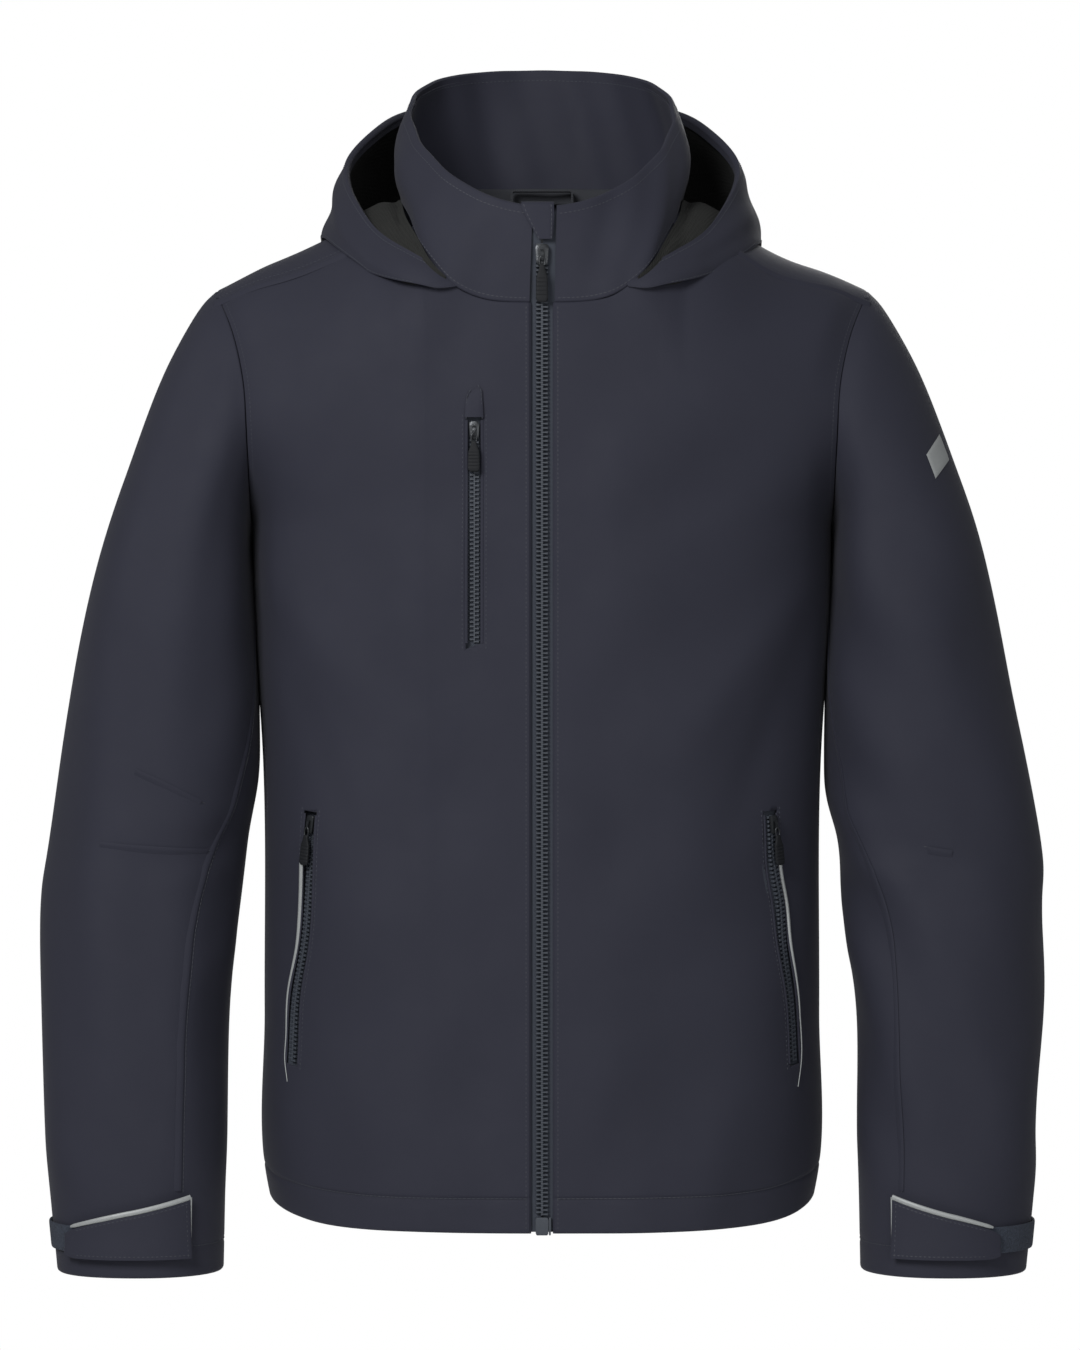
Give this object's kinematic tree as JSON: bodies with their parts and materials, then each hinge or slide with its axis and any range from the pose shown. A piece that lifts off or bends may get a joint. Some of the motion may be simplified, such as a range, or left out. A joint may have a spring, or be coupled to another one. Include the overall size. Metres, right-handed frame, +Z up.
{
  "type": "foul weather jacket",
  "caption": "Hip-length foul weather sailing jacket with storm collar, folded hood, full-length zip, zipped pockets and adjustable cuffs.",
  "frame": {"origin": "middle of the underside of the hanger loop at the back neck, where a peg carries the jacket", "axes": "+Z up, -Y to the front of the jacket, +X to the wearer's left"},
  "size_m": [0.7194, 0.2989, 0.873],
  "materials": {
    "shell_fabric": "matt dark navy laminated weave with a faint sheen",
    "lining_fabric": "dark plain-woven lining",
    "mesh_lining": "open knitted mesh, near black",
    "zip_tape": "herringbone-woven zip tape",
    "zip_teeth": "moulded acetal teeth, slightly glossy",
    "zip_slider": "dark painted die casting",
    "zip_puller": "soft moulded pull tab",
    "hook_and_loop": "hook-and-loop fastener",
    "reflective_piping": "silver retro-reflective piping",
    "loop_tape": "woven tape"
  },
  "bodies": {
    "shell": {"front_panel_left": "shell_fabric", "front_panel_right": "shell_fabric", "back_panel": "shell_fabric", "back_yoke": "shell_fabric", "lining_front_left": "lining_fabric", "lining_front_right": "lining_fabric", "lining_back": "lining_fabric", "collar_outer": "shell_fabric", "collar_lining": "lining_fabric", "chin_guard": "shell_fabric", "hanger_loop": "loop_tape", "storm_flap": "shell_fabric", "main_zip_tape_left": "zip_tape", "main_zip_tape_right": "zip_tape", "main_zip_teeth_left": "zip_teeth", "main_zip_teeth_right": "zip_teeth", "main_zip_retainer_box": "zip_teeth", "main_zip_insertion_pin": "zip_teeth", "chest_zip_tape": "zip_tape", "chest_zip_teeth": "zip_teeth", "chest_zip_garage": "shell_fabric", "chest_pocket_bag": "lining_fabric", "hand_zip_left_tape": "zip_tape", "hand_zip_left_teeth": "zip_teeth", "hand_pocket_piping_left": "reflective_piping", "hand_pocket_bag_left": "lining_fabric", "hand_zip_right_tape": "zip_tape", "hand_zip_right_teeth": "zip_teeth", "hand_pocket_piping_right": "reflective_piping", "hand_pocket_bag_right": "lining_fabric"},
    "hood": {"hood_shell": "shell_fabric", "hood_lining": "mesh_lining"},
    "main_zip_slider": {"main_zip_slider": "zip_slider"},
    "main_zip_puller": {"main_zip_puller": "zip_puller"},
    "chest_zip_slider": {"chest_zip_slider": "zip_slider"},
    "chest_zip_puller": {"chest_zip_puller": "zip_puller"},
    "sleeve_left": {"upper_sleeve_left": "shell_fabric", "upper_sleeve_lining_left": "lining_fabric", "sleeve_reflective_bar": "reflective_piping"},
    "forearm_left": {"forearm_left": "shell_fabric", "forearm_lining_left": "lining_fabric", "cuff_loop_patch_left": "hook_and_loop"},
    "cuff_tab_left": {"cuff_tab_left": "shell_fabric", "cuff_hook_patch_left": "hook_and_loop", "cuff_piping_left": "reflective_piping"},
    "hand_zip_left_slider": {"hand_zip_left_slider": "zip_slider"},
    "hand_zip_left_puller": {"hand_zip_left_puller": "zip_puller"},
    "sleeve_right": {"upper_sleeve_right": "shell_fabric", "upper_sleeve_lining_right": "lining_fabric"},
    "forearm_right": {"forearm_right": "shell_fabric", "forearm_lining_right": "lining_fabric", "cuff_loop_patch_right": "hook_and_loop"},
    "cuff_tab_right": {"cuff_tab_right": "shell_fabric", "cuff_hook_patch_right": "hook_and_loop", "cuff_piping_right": "reflective_piping"},
    "hand_zip_right_slider": {"hand_zip_right_slider": "zip_slider"},
    "hand_zip_right_puller": {"hand_zip_right_puller": "zip_puller"}
  },
  "joints": [
    {"name": "shoulder_left", "type": "hinge", "parent": "shell", "child": "sleeve_left", "pos_m": [0.2335, -0.0715, -0.0764], "axis": [0, -1, 0], "range_deg": [0, 60]},
    {"name": "elbow_left", "type": "hinge", "parent": "sleeve_left", "child": "forearm_left", "pos_m": [0.2833, -0.1585, -0.4765], "axis": [-1, 0, 0], "range_deg": [0, 90]},
    {"name": "cuff_tab_left", "type": "hinge", "parent": "forearm_left", "child": "cuff_tab_left", "pos_m": [0.24427, -0.15466, -0.72188], "axis": [0.0054, -0.0162, -0.9999], "range_deg": [0, 110]},
    {"name": "shoulder_right", "type": "hinge", "parent": "shell", "child": "sleeve_right", "pos_m": [-0.2335, -0.0715, -0.0764], "axis": [0, 1, 0], "range_deg": [0, 60]},
    {"name": "elbow_right", "type": "hinge", "parent": "sleeve_right", "child": "forearm_right", "pos_m": [-0.2833, -0.1585, -0.4765], "axis": [-1, 0, 0], "range_deg": [0, 90]},
    {"name": "cuff_tab_right", "type": "hinge", "parent": "forearm_right", "child": "cuff_tab_right", "pos_m": [-0.24427, -0.15466, -0.72188], "axis": [0.0054, 0.0162, 0.9999], "range_deg": [0, 110]},
    {"name": "hood_lift", "type": "hinge", "parent": "shell", "child": "hood", "pos_m": [0, -0.18721, -0.0775], "axis": [1, 0, 0], "range_deg": [0, 32]},
    {"name": "main_slider", "type": "slide", "parent": "shell", "child": "main_zip_slider", "axis": [0, -0.0233, -0.9997], "range_m": [0, 0.6502]},
    {"name": "main_puller", "type": "hinge", "parent": "main_zip_slider", "child": "main_zip_puller", "pos_m": [0, -0.18766, -0.06691], "axis": [-1, 0, 0], "range_deg": [0, 170]},
    {"name": "chest_slider", "type": "slide", "parent": "shell", "child": "chest_zip_slider", "axis": [0, -0.0189, -0.9998], "range_m": [0, 0.1366]},
    {"name": "chest_puller", "type": "hinge", "parent": "chest_zip_slider", "child": "chest_zip_puller", "pos_m": [-0.04718, -0.18966, -0.18933], "axis": [-0.9973, 0.073, -0.0014], "range_deg": [0, 170]},
    {"name": "hand_left_slider", "type": "slide", "parent": "shell", "child": "hand_zip_left_slider", "axis": [0.091, 0.0681, -0.9935], "range_m": [0, 0.1578]},
    {"name": "hand_left_puller", "type": "hinge", "parent": "hand_zip_left_slider", "child": "hand_zip_left_puller", "pos_m": [0.16456, -0.1565, -0.46318], "axis": [-0.7201, -0.6846, -0.1129], "range_deg": [0, 170]},
    {"name": "hand_right_slider", "type": "slide", "parent": "shell", "child": "hand_zip_right_slider", "axis": [-0.091, 0.0681, -0.9935], "range_m": [0, 0.1578]},
    {"name": "hand_right_puller", "type": "hinge", "parent": "hand_zip_right_slider", "child": "hand_zip_right_puller", "pos_m": [-0.16456, -0.1565, -0.46318], "axis": [-0.7201, 0.6846, 0.1129], "range_deg": [0, 170]}
  ]
}
